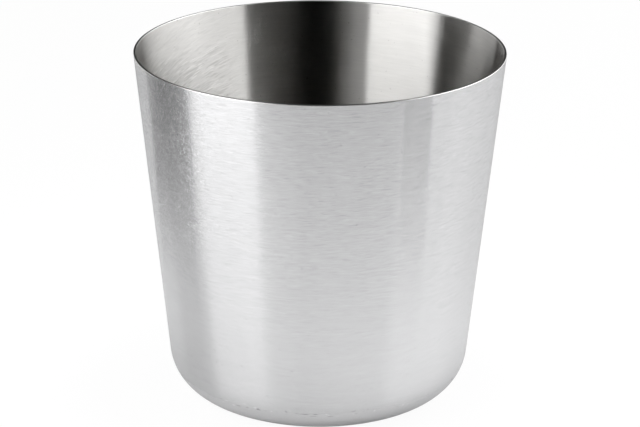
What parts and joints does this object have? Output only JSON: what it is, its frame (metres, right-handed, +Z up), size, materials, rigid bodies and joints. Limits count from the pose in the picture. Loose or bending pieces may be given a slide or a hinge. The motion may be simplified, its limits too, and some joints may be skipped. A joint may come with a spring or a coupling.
{
  "type": "deep drawn metal cup",
  "caption": "Tapered serving cup drawn from brushed stainless sheet, with a plain trimmed rim, a straight leaning wall and a wide rounded bottom corner.",
  "frame": {"origin": "centre of the ring that the cup stands on", "axes": "+Z up along the cup's axis, from the base to the open mouth; the cup is round, so X and Y are free"},
  "size_m": [0.086, 0.086, 0.083],
  "materials": {
    "brushed_steel": "brushed round the wall inside and out, with a plainer bottom corner and base"
  },
  "bodies": {
    "root": {"cup": "brushed_steel"}
  },
  "joints": []
}
